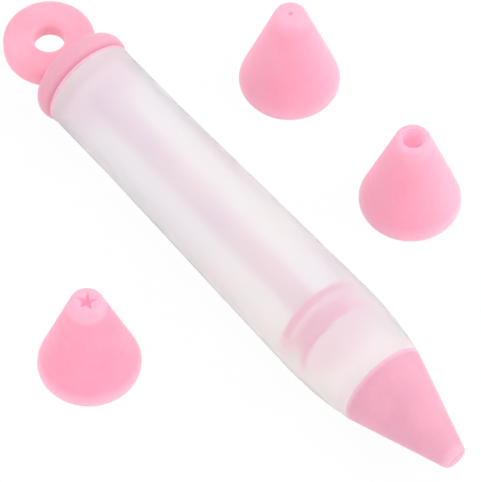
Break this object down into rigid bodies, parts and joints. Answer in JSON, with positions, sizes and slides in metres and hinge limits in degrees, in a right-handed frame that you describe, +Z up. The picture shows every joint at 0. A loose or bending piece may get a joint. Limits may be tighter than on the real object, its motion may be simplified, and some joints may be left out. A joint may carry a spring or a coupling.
{
  "type": "cake decorating syringe",
  "caption": "Hand syringe for piping icing: a frosted barrel, a plunger with a finger ring, and soft cone nozzles with different openings.",
  "frame": {"origin": "under the middle of the whole set, on the plane it rests on", "axes": "+X along the barrel towards the fitted nozzle, +Z up"},
  "size_m": [0.1804, 0.1262, 0.0313],
  "materials": {
    "frosted_silicone": "frosted, translucent",
    "pink_silicone": "matte, soft",
    "pink_plastic": "matte"
  },
  "bodies": {
    "barrel": {"barrel": "frosted_silicone"},
    "piston": {"piston": "pink_silicone"},
    "plunger": {"plunger_rod": "pink_plastic", "ring_handle": "pink_silicone"},
    "fitted_nozzle": {"fitted_nozzle": "pink_silicone"},
    "fine_nozzle": {"fine_nozzle": "pink_silicone"},
    "round_nozzle": {"round_nozzle": "pink_silicone"},
    "star_nozzle": {"star_nozzle": "pink_silicone"}
  },
  "joints": [
    {"name": "plunger_slide", "type": "slide", "parent": "barrel", "child": "piston", "axis": [-1, 0, 0], "range_m": [0, 0.109]},
    {"name": "handle_twist", "type": "hinge", "parent": "piston", "child": "plunger", "pos_m": [0.03961, 0, 0.0148], "axis": [1, 0, 0], "continuous": true},
    {"name": "nozzle_twist", "type": "hinge", "parent": "barrel", "child": "fitted_nozzle", "pos_m": [0.06139, 0, 0.0148], "axis": [1, 0, 0], "continuous": true},
    {"name": "fine_nozzle_lift", "type": "slide", "parent": "barrel", "child": "fine_nozzle", "axis": [0, 0, 1], "range_m": [0, 0.05]},
    {"name": "round_nozzle_lift", "type": "slide", "parent": "barrel", "child": "round_nozzle", "axis": [0, 0, 1], "range_m": [0, 0.05]},
    {"name": "star_nozzle_lift", "type": "slide", "parent": "barrel", "child": "star_nozzle", "axis": [0, 0, 1], "range_m": [0, 0.05]}
  ]
}
